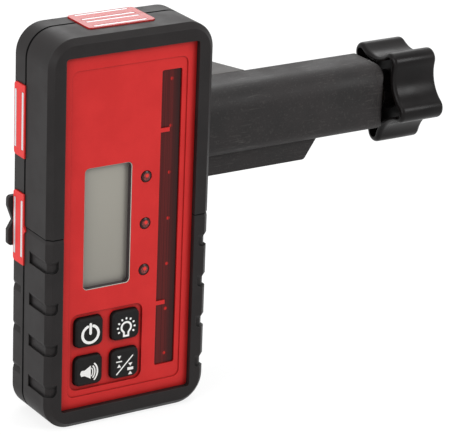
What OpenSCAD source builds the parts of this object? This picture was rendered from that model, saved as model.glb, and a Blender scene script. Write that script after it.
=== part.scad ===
// Laser receiver for levelling work, on a clamp that grips a measuring staff.
// Lengths are in millimetres. The case stands on Z = 0 with its front on Y = 0 while it
// is drawn, and the whole part is then set with its origin on the clamp's reading line.

/* [Case] */
// Width of the case across the front
case_w = 76; // [72:1:90]
// Height of the case
case_h = 168; // [162:1:190]
// Radius of the four outer corners, seen from the front
corner_r = 12; // [11:0.5:14]
// Thickness of the side, top and bottom walls
wall_t = 3; // [2.6:0.1:3.4]
// Thickness of the back wall
rear_wall_t = 2.8; // [2.7:0.1:3.4]
// Bevel round the front edge
front_bevel = 2.3; // [1.5:0.1:3]
// Bevel round the back edge
rear_bevel = 0.8; // [0.5:0.1:0.9]
// Depth of the rear half, from the seal to the back
rear_shell_d = 9.4; // [9:0.1:10]
// Thickness of the seal between the two halves
seal_t = 0.6; // [0.2:0.1:0.8]
// How far the seal sits back from the outside
seal_inset = 0.7; // [0.4:0.1:1]
// Radius of the screw posts inside the case
post_r = 3.2; // [2.8:0.1:3.6]
// Radius of the case screws
screw_r = 1.5; // [1.2:0.1:1.6]

/* [Grip] */
// Number of grip grooves on each side
grip_count = 4; // [2:1:4]
// Distance from one grip groove to the next
grip_pitch = 18.2; // [12:0.2:18.4]
// Height of the lowest groove's ledge above the base
grip_first_z = 15.7; // [14:0.1:17]
// Height of a groove
grip_h = 5.4; // [4:0.1:6]
// Depth of a groove
grip_depth = 1; // [0.5:0.1:1.4]
// Length of a groove along the side
grip_run = 15.6; // [8:0.2:16]
// Width of a groove on the front border
grip_front = 5.1; // [3:0.1:6]
// Width of the shallow groove round the case at the reading height
belt_w = 2; // [1:0.1:2.4]
// Depth of that groove
belt_depth = 0.4; // [0.2:0.1:0.8]

/* [Front panel] */
// Width of the border beside the panel
border_w = 7.3; // [6:0.1:9]
// Height of the border above and below the panel
border_h = 7.75; // [6.5:0.05:9]
// Thickness of the border, which is how far the panel sits back
bezel_t = 2.45; // [2:0.05:3]
// Thickness of the panel
panel_t = 3.2; // [3:0.1:4]
// How far the panel reaches behind the border
panel_lap = 1.5; // [1:0.1:2]
// Radius of the panel's corners
panel_r = 1.2; // [1:0.1:5]
// Space between the panel's edge and the sunk label area, at the sides
label_side = 3.9; // [3:0.1:4.5]
// The same space, above and below
label_end = 5.55; // [4:0.05:7]
// How far the label area sits below the middle
label_drop = 0.8; // [0:0.1:1.5]
// Depth of the label area
label_depth = 0.5; // [0.3:0.1:0.8]

/* [Display] */
// Width of the display opening
lcd_w = 22; // [18:0.5:23]
// Space between the button pocket and the display opening
lcd_below = 10; // [9:0.5:16]
// Space between the display opening and the top of the label area
lcd_above = 41.9; // [30:0.1:48]
// Middle of the display, left of the case's middle
lcd_left = 9; // [8.5:0.1:10]
// Radius of the opening's corners
lcd_r = 2; // [0.5:0.1:4]
// Border of the display glass behind the panel
lcd_border = 2; // [1:0.1:2.4]
// Thickness of the display glass
lcd_t = 2.2; // [1.6:0.1:2.6]
// Radius of an indicator lamp
led_r = 2.3; // [1.5:0.1:2.5]
// Place of the lamps, right of the case's middle
led_x = 8.7; // [8:0.1:9.2]
// How far the outer lamps lie inside the display's ends
led_inset = 6; // [4:0.1:14]

/* [Receiving window] */
// Width of the receiving window
filter_w = 9.4; // [8:0.1:10]
// Space between the panel's edge and the receiving window, above and below
filter_end = 11.45; // [10:0.05:16]
// Middle of the window, right of the case's middle
filter_x = 19.7; // [19.2:0.1:20.4]
// Number of light sensors behind the window
sensor_count = 7; // [5:2:7]
// Width and height of a sensor
sensor_w = 5; // [3:0.1:6]

/* [Buttons] */
// Width and height of a button
button_w = 12.8; // [11:0.1:13]
// Distance between the middles of two buttons
button_pitch = 17.2; // [16.9:0.1:17.6]
// Middle of the group of buttons, left of the case's middle
button_left = 8.5; // [8:0.1:9]
// Middle of the group of buttons, above the base
button_z = 32.2; // [31.5:0.1:33]
// Radius of a button's corners
button_r = 2.5; // [1.2:0.1:4]
// Depth of the pocket round the buttons
pocket_depth = 0.9; // [0.5:0.1:1.2]
// How far a button stands out of the pocket
button_proud = 2.4; // [1.8:0.1:2.8]
// Distance that a button travels when pressed
button_travel = 0.8; // [0.4:0.1:1]

/* [Boards] */
// Space between the panel and the circuit board
board_gap = 3.4; // [3.2:0.1:4]
// Thickness of the circuit board
board_t = 1.6; // [1:0.1:2]
// Radius of the sounder on the board
buzzer_r = 6; // [4:0.5:8]
// Height of the sounder
buzzer_h = 4.5; // [3:0.5:6]

/* [Batteries] */
// Diameter of a battery cell
cell_d = 14.2; // [13.8:0.1:14.6]
// Length of a battery cell
cell_l = 50.5; // [48:0.1:51]
// Thickness of the battery tray's walls
tray_wall = 1.2; // [1:0.1:1.4]
// Room for a contact at each end of a cell
contact_room = 1.6; // [1.2:0.1:1.8]
// Space between the circuit board and the tray
tray_gap = 0.55; // [0.4:0.05:1]
// Thickness of the battery door
door_t = 1.7; // [1.4:0.1:1.8]
// Radius of the door's hinge pin
pin_r = 0.8; // [0.5:0.05:0.9]

/* [Magnet inserts] */
// Length of a magnet insert
insert_l = 30.8; // [24:0.2:32]
// Wall left behind the inserts in the rear half
insert_back = 1.1; // [0.9:0.1:1.2]
// Width of the insert in the front half
front_insert_w = 10.2; // [8:0.1:10.4]
// Thickness of a magnet insert
insert_t = 5; // [4:0.1:5.5]
// How far an insert stands out of the case
insert_proud = 0.6; // [0.2:0.1:0.8]
// Middle of the upper side insert, below the top
insert_drop = 38.8; // [30:0.2:46]
// Middle of the lower side insert, below the reading line
insert_low = 1; // [0:0.1:2]
// Width of a steel strip
strip_w = 1.4; // [1:0.1:1.5]
// Distance between the two strips of an insert
strip_pitch = 6; // [5.4:0.1:6]

/* [Clamp bracket] */
// Thickness of the base plate on the case's back
plate_t = 6; // [5:0.1:7]
// Height of the base plate
plate_h = 21.6; // [18:0.2:23]
// Thickness of the plate's two ends
ear_t = 2; // [1.5:0.1:3]
// How far the plate's ends reach past the case
plate_over = 2.4; // [1:0.1:3]
// Depth of the sighting notch in each end
notch_depth = 2.3; // [1:0.1:4]
// Space between the case's back and the arm
arm_gap = 2.5; // [1:0.1:4]
// Depth of the arm from front to back
arm_d = 22; // [20:0.5:26]
// Height of the arm
arm_h = 30; // [28:0.5:36]
// Height of the arm's underside above the reading line
arm_rise = 10; // [9.5:0.1:14]
// How far the arm reaches past the case's side
arm_reach = 109; // [100:1:140]
// Wall of the hollow arm
arm_wall = 3; // [2:0.1:3.4]
// Radius of the arm's upper front edge
arm_top_r = 10; // [4:0.5:11]
// Radius of the arm's lower front edge
arm_low_r = 6; // [3:0.5:7]
// How far the reading flange is set back from the arm's front
flange_back = 7.5; // [4:0.1:10]
// How far the flange's lower edge reaches past the case's side
flange_reach = 72.8; // [60:0.2:90]
// Thickness of the arm's end cap
cap_t = 3.5; // [2.5:0.1:5]

/* [Jaws] */
// How far the jaws reach behind the arm
jaw_reach = 35.5; // [25:0.5:45]
// Width of a jaw at its root
jaw_root = 23.6; // [21:0.2:28]
// Width of a jaw at its tip
jaw_tip = 10.2; // [8:0.2:14]
// Fixed jaw's face, past the case's side
jaw_offset = 2; // [0:0.5:6]
// Opening between the bare jaws as shown
jaw_open = 24; // [20:0.5:30]
// Thickness of a jaw's rubber pad
pad_t = 2; // [1:0.1:3]
// Height of the slot in the arm's back
slot_h = 13; // [11:0.5:15]

/* [Lead screw and knobs] */
// Radius of the lead screw over its thread
lead_r = 4; // [3:0.1:4.4]
// Radius of the star knob over its lobes
knob_r = 23.3; // [22:0.1:26]
// Radius of a lobe's end
lobe_r = 4.7; // [4.4:0.1:5.4]
// Radius of the valleys between the lobes
valley_r = 16.3; // [15.5:0.1:16.8]
// Number of lobes
lobes = 5; // [4:1:6]
// Thickness of the star knob
knob_t = 22; // [18:0.5:26]
// Space between the arm's end and the star knob
knob_gap = 2.5; // [2:0.1:5]
// Radius of the attaching screw
attach_r = 3.1; // [2.5:0.1:3.4]
// Radius of the attaching knob
attach_knob_r = 13; // [10:0.5:14]
// Thickness of the attaching knob
attach_knob_t = 11; // [8:0.5:13]
// Attaching screw's place below the reading line
attach_drop = 13; // [12:0.5:16]

/* [Hidden] */
$fn = 64;
// Cuts run past a face by this much
cut = 1;
// Clearance of pieces that are fixed together
seat = 0.1;
// Clearance of pieces that slide on each other
slide = 0.3;
// Radial clearance of a turning shaft in its hole
running = 0.06;
// Radial clearance of a pin or screw that is fixed in its hole
fit = 0.02;

// Depth is the sum of what lies between the front and the back
panel_back = bezel_t + panel_t;
board_y = panel_back + board_gap;
tray_y = board_y + board_t + tray_gap;
cell_clear = 0.3;
back_wall_y = tray_y + tray_wall + cell_d + 2 * cell_clear;
case_d = back_wall_y + rear_wall_t;
rear_y = case_d - rear_shell_d;
seal_y = rear_y - seal_t;

half_w = case_w / 2;
grade_z = case_h / 2;
open_w = case_w - 2 * border_w;
open_h = case_h - 2 * border_h;
inner_r = corner_r - wall_t;

// Sunk label area, with the pocket of the buttons in it
label_w = open_w - 2 * label_side;
label_h = open_h - 2 * label_end;
label_z = grade_z - label_drop;
label_r = 3;
label_y = bezel_t + label_depth;
pocket_y = label_y + pocket_depth;
pocket_margin = 2;
pocket_w = button_pitch + button_w + 2 * pocket_margin;
pocket_r = 3.4;
pocket_top_z = button_z + pocket_w / 2;

// The display fills the label area between the pocket and the bare upper part
lcd_low_z = pocket_top_z + lcd_below;
lcd_high_z = label_z + label_h / 2 - lcd_above;
lcd_h = lcd_high_z - lcd_low_z;
lcd_z = (lcd_low_z + lcd_high_z) / 2;
led_pitch = lcd_h / 2 - led_inset;
led_flange = 0.8;
led_gap = 0.3;

// Receiving window, its clips and the row of sensors behind it
filter_h = open_h - 2 * filter_end;
filter_r = 0.8;
filter_sunk = 0.7;
filter_lip = 1;
clip_top_drop = 25.6;
clip_low_rise = 28;
sensor_end = 0.5;
sensor_pitch = (filter_h - sensor_w - 2 * sensor_end) / (sensor_count - 1);
sensor_gap = 0.3;

// Battery compartment and its door
cell_gap = 0.6;
cell_pitch = cell_d + cell_gap;
tray_in_w = cell_l + 2 * contact_room;
tray_in_h = cell_pitch + cell_d + 2 * cell_clear;
tray_rise = 2.8;
knuckle_wall = 0.9;
knuckle_r = pin_r + knuckle_wall;
door_seat_d = door_t + seat;
door_side = 1.1;
door_lap = 2.2;
door_gap = 0.3;
hinge_y = case_d - knuckle_r;
hinge_z = 12;
tray_z = hinge_z + knuckle_r + tray_rise + tray_in_h / 2;
door_w = tray_in_w + 2 * door_side;
door_top_z = tray_z + tray_in_h / 2 + door_lap;
pin_reach = 2.3;
pin_half_l = door_w / 2 + door_gap + pin_reach;

// Screw posts near the four corners, and at the sides below the lower side insert
post_inset = 8;
post_end_z = 6.8;
post_sink = 0.8;
side_post_gap = 7.8;
pocket_floor = 2;
post_places = [
    [half_w - post_inset, post_end_z],
    [half_w - post_inset, case_h - post_end_z],
    [half_w - wall_t - post_r + post_sink, grade_z - insert_l / 2 - pocket_floor - post_r - side_post_gap]
];
screw_reach = 11;
screw_head_r = 1.8 * screw_r;
screw_head_t = 2;
screw_head_sunk = 0.4;
screw_head_gap = 0.2;
screw_socket_r = 0.62 * screw_r;
screw_socket_d = 1.2;

// Circuit board, and the panel's posts that carry it
board_side = 2.8;
board_w = 2 * (half_w - wall_t - 2 * post_r - board_side);
board_end = 12;
board_h = case_h - 2 * board_end;
board_r = 2;
board_post_r = 2.4;
board_post_inset = 3.4;
board_post_low_z = pocket_top_z + 3.3;
board_post_high_z = case_h - board_end - 6;
board_screw_r = 1;
board_screw_head_t = 1.2;
board_screw_tip_y = panel_back - 0.8;
board_post_places = [
    for (x = [board_post_inset - board_w / 2, led_x], z = [board_post_low_z, board_post_high_z]) [x, z]
];
buzzer_z = board_post_high_z - 20;
sound_hole_r = 0.8;
sound_ring_r = 3.2;
sound_holes = 6;

// Buttons behind the panel
button_gap = 0.25;
button_lap = 1.1;
button_lip = 0.8;
button_seat = 0.05;
button_bevel = 0.8;
button_front_y = pocket_y - button_proud;

// Magnet inserts in the case's left side and top
side_insert_zs = [grade_z - insert_low, case_h - insert_drop];
insert_w = rear_shell_d - insert_back;
insert_floor = 1;
insert_r = 1.6;
insert_lip_t = insert_proud + seal_inset - seat;
strip_end = 3.2;
strip_l = insert_l - 2 * strip_end;
strip_sunk = 0.3;
magnet_w = strip_pitch - strip_w - 2 * seat;
magnet_cover = 1.4;

// Clamp
arm_y = case_d + arm_gap;
arm_back = arm_y + arm_d;
arm_z = grade_z + arm_rise;
arm_left = half_w + jaw_offset - jaw_root;
arm_end = half_w + arm_reach;
arm_tube_end = arm_end - cap_t;
plate_w = case_w + 2 * plate_over;
flange_y = arm_y + flange_back;
axis_y = arm_y + arm_d / 2;
axis_z = arm_z + arm_h / 2;
attach_z = grade_z - attach_drop;
attach_y = case_d + plate_t;
tab_side = 2;
tab_end = 1;
tab_r = 5;
tab_w = 2 * (attach_knob_r + tab_side);
tab_low_z = attach_z - attach_knob_r - tab_end;
washer_t = 1;
washer_lap = 3;
nut_wall = 1.2;
screw_nut_r = attach_r + nut_wall;
nut_boss_r = screw_nut_r + 2;
nut_sunk = 1;
screw_cover = 3;
face_x = half_w + jaw_offset;
moving_x = face_x + jaw_open;
jaw_gap = 0.4;
jaw_tip_r = 3;
jaw_face_t = 5;
jaw_skin = 2.6;
carriage_inset = 2;
carriage_x = moving_x + carriage_inset;
carriage_l = jaw_root - carriage_inset - 1.6;
neck_lap = 2;
jaw_nut_wall = 2;
jaw_nut_r = lead_r + jaw_nut_wall;
knob_x = arm_end + knob_gap;
knob_edge = 2.4;
knob_rest = -93;
knob_rim = 2.2;
knob_hollow = 7;
knob_dish_r = 8;
knob_dish_d = 2;
knob_cover = 6;
hub_r = 9;
journal_r = lead_r - 1;
journal_sunk = 2;
journal_play = 0.5;
spigot_l = 6;
left_wall = 6;
ring_t = 1.2;
ring_lap = 3;
ring_x = arm_tube_end - spigot_l - slide;
thrust_lap = 4;
thrust_play = 0.05;
cap_screw_r = 0.9;
cap_screw_l = 7;
cap_screw_head = 0.8;
cap_screw_seat = 1.4;
cap_head_r = 1.6 * cap_screw_r;
cap_round = 2.4;
cap_screw_z = arm_h / 2 - arm_wall / 2;

// Flat shape in X and Z, made solid from y0 to y1
module slab(y0, y1) {
    translate([0, y1, 0])
        rotate([90, 0, 0])
            linear_extrude(y1 - y0)
                children();
}

// Flat shape in Y and Z, made solid from x0 to x1
module bar(x0, x1) {
    translate([x0, 0, 0])
        rotate([90, 0, 90])
            linear_extrude(x1 - x0)
                children();
}

// Round rod along Y, from y0 to y1
module rod_y(r, y0, y1) {
    translate([0, y0, 0])
        rotate([-90, 0, 0])
            cylinder(r = r, h = y1 - y0);
}

// Round rod along X, from x0 to x1
module rod_x(r, x0, x1) {
    translate([x0, 0, 0])
        rotate([0, 90, 0])
            cylinder(r = r, h = x1 - x0);
}

// Rectangle with round corners, about its middle
module rounded(w, h, r) {
    square([w - 2 * r, h], center = true);
    square([w, h - 2 * r], center = true);
    for (x = [-1, 1], z = [-1, 1])
        translate([x * (w / 2 - r), z * (h / 2 - r)])
            circle(r = r);
}

// Block with round corners and a bevel round its front, on Z = 0
module bevelled_block(w, h, r, d, bevel) {
    translate([0, 0, h / 2]) {
        slab(bevel, d)
            rounded(w, h, r);
        translate([0, 0, r - h / 2])
            linear_extrude(h - 2 * r)
                polygon([[bevel - w / 2, 0], [w / 2 - bevel, 0], [w / 2, bevel], [-w / 2, bevel]]);
        bar(r - w / 2, w / 2 - r)
            polygon([[0, bevel - h / 2], [bevel, -h / 2], [bevel, h / 2], [0, h / 2 - bevel]]);
        for (x = [-1, 1], z = [-1, 1])
            translate([x * (w / 2 - r), 0, z * (h / 2 - r)])
                rotate([-90, 0, 0])
                    cylinder(r1 = r - bevel, r2 = r, h = bevel);
    }
}

// Copies a child to every place in a list of X and Z, on both sides where asked
module at_places(places, both = false) {
    for (p = places, side = both ? [-1, 1] : [1])
        translate([side * p[0], 0, p[1]])
            children();
}

// Cutter with a given section, inwards from the surface and up, that runs along the right
// side, over the bevel and along the front border
module border_cut(section, side_l, front_l) {
    bevel_l = front_bevel * sqrt(2);
    translate([half_w, side_l, 0])
        rotate([90, 0, 0])
            linear_extrude(side_l)
                mirror([1, 0])
                    polygon(section);
    translate([half_w - front_l, 0, 0])
        rotate([90, 0, 90])
            linear_extrude(front_l + cut)
                polygon(section);
    translate([half_w - front_bevel / 2, front_bevel / 2, 0])
        rotate([0, 0, 45])
            translate([-bevel_l, 0, 0])
                rotate([90, 0, 90])
                    linear_extrude(2 * bevel_l)
                        polygon(section);
}

// One grip groove on the right: a ledge below, a floor, and a slope that runs out above
module grip_cut(z) {
    floor_h = 0.65 * grip_h;
    slope = (grip_h - floor_h) / grip_depth;
    end_r = 2;
    section = [[-cut, -cut], [grip_depth, -cut], [grip_depth, floor_h], [-cut, grip_h + slope * cut]];
    translate([0, 0, z])
        intersection() {
            border_cut(section, grip_run, grip_front);
            // The ledge, with a round corner at the groove's end on the front border
            translate([half_w - grip_front + case_w / 2, 0, case_h / 2])
                slab(-cut, case_d)
                    rounded(case_w, case_h, end_r);
        }
}

// Notch above each ledge where the rear half is gripped
module grip_cut_rear(z) {
    grip_rear_stop = 2;
    rise = 0.78 * grip_h;
    translate([half_w, case_d + cut, z + rise])
        rotate([90, 0, 0])
            linear_extrude(rear_shell_d - grip_rear_stop + cut)
                mirror([1, 0])
                    polygon([[-cut, grip_h / 2 + cut], [grip_depth, 0], [-cut, -grip_h / 2 - cut]]);
}

// Shallow groove round the front half at the reading height, sharp above
module belt_cut() {
    up = belt_w / 2;
    slope = belt_w / belt_depth;
    section = [[-cut, up], [belt_depth, up], [-cut, -up - slope * cut]];
    for (side = [0, 1])
        translate([0, 0, grade_z])
            mirror([side, 0, 0])
                border_cut(section, case_d, border_w + cut);
}

// Flat arrow head on the lower side insert, which points forwards
module insert_mark(grow) {
    mark_l = 1.3;
    mark_h = 3.4;
    mark_t = insert_lip_t;
    translate([-half_w - insert_proud - cut * grow, 0, side_insert_zs[0]])
        rotate([90, 0, 90])
            linear_extrude(mark_t + cut * grow + seat * grow)
                polygon([
                    [seal_y + 2 * seat, mark_h / 2 + seat * grow],
                    [seal_y - mark_l - 2 * seat * grow, 0],
                    [seal_y + 2 * seat, -mark_h / 2 - seat * grow]
                ]);
}

// Places a child, drawn face up with the parting plane on Y = 0, at an insert's seat
module on_top_front() {
    translate([0, seal_y, case_h + insert_proud])
        mirror([0, 1, 0])
            children();
}

module on_top_rear() {
    translate([0, rear_y, case_h + insert_proud])
        children();
}

module on_side(z) {
    translate([-half_w - insert_proud, rear_y, z])
        rotate([0, -90, 0])
            children();
}

// Outline of an insert of width w, grown all round, with round corners at its outer edge
module insert_outline(w, grow) {
    half_l = insert_l / 2 + grow;
    r = insert_r + grow;
    translate([-half_l, -grow])
        square([2 * half_l, w + 2 * grow - r]);
    translate([r - half_l, 0])
        square([2 * (half_l - r), w + grow]);
    for (x = [-1, 1])
        translate([x * (half_l - r), w + grow - r])
            circle(r = r);
}

// Room that an insert needs in the wall, grown all round and open to the outside
module insert_room(w, grow) {
    translate([0, 0, -insert_t - grow])
        linear_extrude(insert_t + grow + cut)
            insert_outline(w, grow);
}

module front_shell() {
    color("#2f2e2e")
        difference() {
            union() {
                difference() {
                    bevelled_block(case_w, case_h, corner_r, seal_y, front_bevel);
                    translate([0, 0, grade_z])
                        slab(bezel_t, case_d)
                            rounded(case_w - 2 * wall_t, case_h - 2 * wall_t, inner_r);
                }
                // Screw posts stand on the side walls, behind the panel
                intersection() {
                    at_places(post_places, true)
                        rod_y(post_r, panel_back + seat, seal_y);
                    bevelled_block(case_w, case_h, corner_r, seal_y, front_bevel);
                }
                intersection() {
                    on_top_front()
                        insert_room(front_insert_w, pocket_floor);
                    translate([-case_w / 2, 0, 0])
                        cube([case_w, seal_y, case_h - wall_t / 2]);
                }
            }
            translate([0, 0, grade_z])
                slab(-cut, bezel_t + cut)
                    rounded(open_w, open_h, panel_r);
            at_places(post_places, true)
                rod_y(screw_r + fit, seal_y - screw_reach - cut, seal_y + cut);
            on_top_front()
                insert_room(front_insert_w, seat);
            insert_mark(1);
            belt_cut();
            for (i = [0 : grip_count - 1], side = [0, 1])
                mirror([side, 0, 0])
                    grip_cut(grip_first_z + i * grip_pitch);
        }
}

// Door opening: a seat for the door, a way through to the tray and the hinge's trough
module door_cut() {
    finger_r = 6;
    finger_depth = 1.2;
    translate([0, 0, (hinge_z + door_top_z) / 2])
        slab(case_d - door_seat_d, case_d + cut)
            square([door_w + 2 * door_gap, door_top_z - hinge_z + 2 * door_gap], center = true);
    translate([0, 0, tray_z])
        slab(back_wall_y - cut, case_d)
            square([tray_in_w, tray_in_h], center = true);
    translate([0, hinge_y, hinge_z])
        rod_x(knuckle_r + slide, -door_w / 2 - door_gap, door_w / 2 + door_gap);
    translate([-door_w / 2 - door_gap, hinge_y, hinge_z - knuckle_r - 2 * slide])
        cube([door_w + 2 * door_gap, knuckle_r + cut, knuckle_r + 2 * slide]);
    // Room for a fingertip above the door
    translate([0, case_d, door_top_z])
        rod_y(finger_r, -finger_depth, cut);
}

module rear_shell() {
    pin_end = pin_half_l + 2 * seat;
    block_wall = 1;
    block_floor = 2;
    block_w = 2 * (pin_end + block_wall);
    block_d = knuckle_r + block_floor;
    block_h = 2 * (knuckle_r + block_wall + seat);
    color("#2f2e2e")
        difference() {
            union() {
                difference() {
                    translate([0, case_d, 0])
                        mirror([0, 1, 0])
                            bevelled_block(case_w, case_h, corner_r, rear_shell_d, rear_bevel);
                    translate([0, 0, grade_z])
                        slab(0, back_wall_y)
                            rounded(case_w - 2 * wall_t, case_h - 2 * wall_t, inner_r);
                }
                at_places(post_places, true)
                    rod_y(post_r, rear_y, back_wall_y + cut);
                translate([0, 0, attach_z])
                    rod_y(nut_boss_r, rear_y, back_wall_y + cut);
                // Block that carries the hinge pin, in front of the door's knuckle
                translate([-block_w / 2, hinge_y - block_d, hinge_z - knuckle_r - block_wall])
                    cube([block_w, block_d, block_h]);
                for (z = side_insert_zs)
                    intersection() {
                        on_side(z)
                            insert_room(insert_w, pocket_floor);
                        translate([wall_t / 2 - half_w, rear_y, 0])
                            cube([case_w, rear_shell_d - rear_wall_t / 2, case_h]);
                    }
                intersection() {
                    on_top_rear()
                        insert_room(insert_w, pocket_floor);
                    translate([-half_w, rear_y, 0])
                        cube([case_w, rear_shell_d - rear_wall_t / 2, case_h - wall_t / 2]);
                }
            }
            at_places(post_places, true) {
                rod_y(screw_r + seat, rear_y - cut, case_d);
                rod_y(screw_head_r + screw_head_gap, case_d - screw_head_t - screw_head_sunk, case_d + cut);
            }
            translate([0, 0, attach_z])
                rod_y(screw_nut_r, rear_y - cut, case_d + cut);
            door_cut();
            // Holes that let the sounder be heard
            translate([0, 0, buzzer_z]) {
                rod_y(sound_hole_r, back_wall_y - cut, case_d + cut);
                for (i = [0 : sound_holes - 1])
                    rotate([0, i * 360 / sound_holes, 0])
                        translate([sound_ring_r, 0, 0])
                            rod_y(sound_hole_r, back_wall_y - cut, case_d + cut);
            }
            translate([0, hinge_y, hinge_z])
                rod_x(pin_r + running, -pin_end, pin_end);
            for (z = side_insert_zs)
                on_side(z)
                    insert_room(insert_w, seat);
            on_top_rear()
                insert_room(insert_w, seat);
            for (i = [0 : grip_count - 2], side = [0, 1])
                mirror([side, 0, 0])
                    grip_cut_rear(grip_first_z + i * grip_pitch);
        }
}

module case_seal() {
    color("#141414")
        translate([0, 0, grade_z])
            slab(seal_y, rear_y)
                difference() {
                    rounded(case_w - 2 * seal_inset, case_h - 2 * seal_inset, corner_r - seal_inset);
                    rounded(case_w - 2 * wall_t, case_h - 2 * wall_t, inner_r);
                }
}

module front_panel() {
    clip_zs = [grade_z + filter_h / 2 - clip_top_drop, grade_z - filter_h / 2 + clip_low_rise];
    clip_w = 4.3;
    clip_h = 1.8;
    clip_t = 0.7;
    lip_w = open_w + 2 * panel_lap;
    lip_h = open_h + 2 * panel_lap;
    color("#c32f2f")
        difference() {
            union() {
                difference() {
                    translate([0, 0, grade_z])
                        slab(bezel_t, panel_back)
                            rounded(lip_w, lip_h, panel_r + panel_lap);
                    translate([0, 0, label_z])
                        slab(bezel_t - cut, label_y)
                            rounded(label_w, label_h, label_r);
                    translate([-button_left, 0, button_z])
                        slab(bezel_t - cut, pocket_y)
                            rounded(pocket_w, pocket_w, pocket_r);
                    translate([-lcd_left, 0, lcd_z])
                        slab(bezel_t - cut, panel_back + cut)
                            rounded(lcd_w, lcd_h, lcd_r);
                    translate([filter_x, 0, grade_z])
                        slab(bezel_t - cut, panel_back + cut)
                            rounded(filter_w, filter_h, filter_r);
                }
                // Two small clips hold the receiving window's left edge
                for (z = clip_zs)
                    translate([filter_x - filter_w / 2 - seat, label_y, z - clip_h / 2])
                        cube([clip_w, clip_t, clip_h]);
                at_places(board_post_places)
                    rod_y(board_post_r, panel_back - cut, board_y);
            }
            for (i = [-1, 1], j = [-1, 1])
                translate([-button_left + i * button_pitch / 2, 0, button_z + j * button_pitch / 2])
                    slab(bezel_t - cut, panel_back + cut)
                        rounded(button_w + 2 * button_gap, button_w + 2 * button_gap, button_r);
            for (i = [-1 : 1])
                translate([led_x, 0, grade_z + i * led_pitch])
                    rod_y(led_r + led_gap, 0, panel_back + cut);
            at_places(board_post_places)
                rod_y(board_screw_r + fit, board_screw_tip_y - 2 * seat, board_y + cut);
        }
}

module lcd_module() {
    color("#8f8d84")
        translate([-lcd_left, 0, lcd_z])
            slab(panel_back, panel_back + lcd_t)
                square([lcd_w + 2 * lcd_border, lcd_h + 2 * lcd_border], center = true);
}

// Frame with a floor, which presses the display against the panel
module lcd_holder() {
    rim = 1.2;
    in_w = lcd_w + 2 * lcd_border + 2 * seat;
    in_h = lcd_h + 2 * lcd_border + 2 * seat;
    window = 3;
    color("#dcdcd8")
        translate([-lcd_left, 0, lcd_z])
            difference() {
                slab(panel_back, board_y)
                    square([in_w + 2 * rim, in_h + 2 * rim], center = true);
                slab(panel_back - cut, panel_back + lcd_t)
                    square([in_w, in_h], center = true);
                slab(panel_back, board_y + cut)
                    square([in_w - 2 * window, in_h - 2 * window], center = true);
            }
}

module filter_window() {
    front_y = label_y + filter_sunk;
    color("#4a1c1e")
        translate([filter_x, 0, grade_z]) {
            slab(front_y, panel_back + filter_lip)
                rounded(filter_w - 2 * seat, filter_h - 2 * seat, filter_r);
            slab(panel_back, panel_back + filter_lip)
                rounded(filter_w + 2 * filter_lip, filter_h + 2 * filter_lip, filter_r + filter_lip);
        }
}

module photodiodes() {
    color("#3c3a44")
        for (i = [0 : sensor_count - 1])
            translate([filter_x, 0, grade_z + (i - (sensor_count - 1) / 2) * sensor_pitch])
                slab(panel_back + filter_lip + sensor_gap, board_y)
                    square([sensor_w, sensor_w], center = true);
}

// Lamps with a round nose, soldered to the board
module indicator_leds() {
    nose_r = 1.9 * led_r;
    nose_back = 1.6 * led_r;
    color("#a52a2a")
        for (i = [-1 : 1])
            translate([led_x, 0, grade_z + i * led_pitch]) {
                rod_y(led_r, label_y, board_y);
                rod_y(led_r + led_flange, panel_back + seat, board_y);
                intersection() {
                    translate([0, label_y + nose_back, 0])
                        sphere(r = nose_r);
                    rod_y(led_r, label_y - led_r, label_y + seat);
                }
            }
}

module main_board() {
    color("#2c5a38")
        difference() {
            translate([0, 0, grade_z])
                slab(board_y, board_y + board_t)
                    rounded(board_w, board_h, board_r);
            at_places(board_post_places)
                rod_y(board_screw_r + seat, board_y - cut, board_y + board_t + cut);
        }
}

module tact_switches() {
    switch_w = 6;
    plunger_r = 1.7;
    plunger_gap = 0.2;
    top_y = panel_back + button_lip + button_travel + plunger_gap;
    color("#5a5a5a")
        for (i = [-1, 1], j = [-1, 1])
            translate([-button_left + i * button_pitch / 2, 0, button_z + j * button_pitch / 2]) {
                slab((top_y + board_y) / 2, board_y)
                    square(switch_w, center = true);
                rod_y(plunger_r, top_y, board_y);
            }
}

module buzzer() {
    back_y = board_y + board_t;
    floor_t = 1;
    hole_r = 1;
    color("#1b1b1b")
        translate([0, 0, buzzer_z])
            difference() {
                rod_y(buzzer_r, back_y, back_y + buzzer_h);
                rod_y(hole_r, back_y + floor_t, back_y + buzzer_h + cut);
            }
}

// Open tray whose rim stands on the back wall
module battery_tray() {
    color("#3a3a3a")
        translate([0, 0, tray_z])
            difference() {
                slab(tray_y, back_wall_y)
                    square([tray_in_w + 2 * tray_wall, tray_in_h + 2 * tray_wall], center = true);
                slab(tray_y + tray_wall, back_wall_y + cut)
                    square([tray_in_w, tray_in_h], center = true);
            }
}

module battery_cells() {
    cap_l = 1.4;
    cap_r = 2.8;
    color("#6d7074")
        for (side = [-1, 1])
            translate([0, back_wall_y - cell_clear - cell_d / 2, tray_z + side * cell_pitch / 2])
                mirror([side > 0 ? 0 : 1, 0, 0]) {
                    rod_x(cell_d / 2, -cell_l / 2, cell_l / 2 - cap_l);
                    rod_x(cap_r, cell_l / 2 - cap_l - seat, cell_l / 2);
                }
}

// A plate at each end of each cell, with a coil's space or a stud towards the cell
module battery_contacts() {
    plate_thick = 0.5;
    plate_trim = 1.5;
    stud_r = 3;
    color("#c8c8c4")
        for (side = [-1, 1], end = [-1, 1])
            translate([0, back_wall_y - cell_clear - cell_d / 2, tray_z + side * cell_pitch / 2])
                mirror([end > 0 ? 0 : 1, 0, 0]) {
                    rod_x(stud_r, cell_l / 2 + seat, tray_in_w / 2);
                    bar(tray_in_w / 2 - plate_thick, tray_in_w / 2)
                        square(cell_d - 2 * plate_trim, center = true);
                }
}

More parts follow.
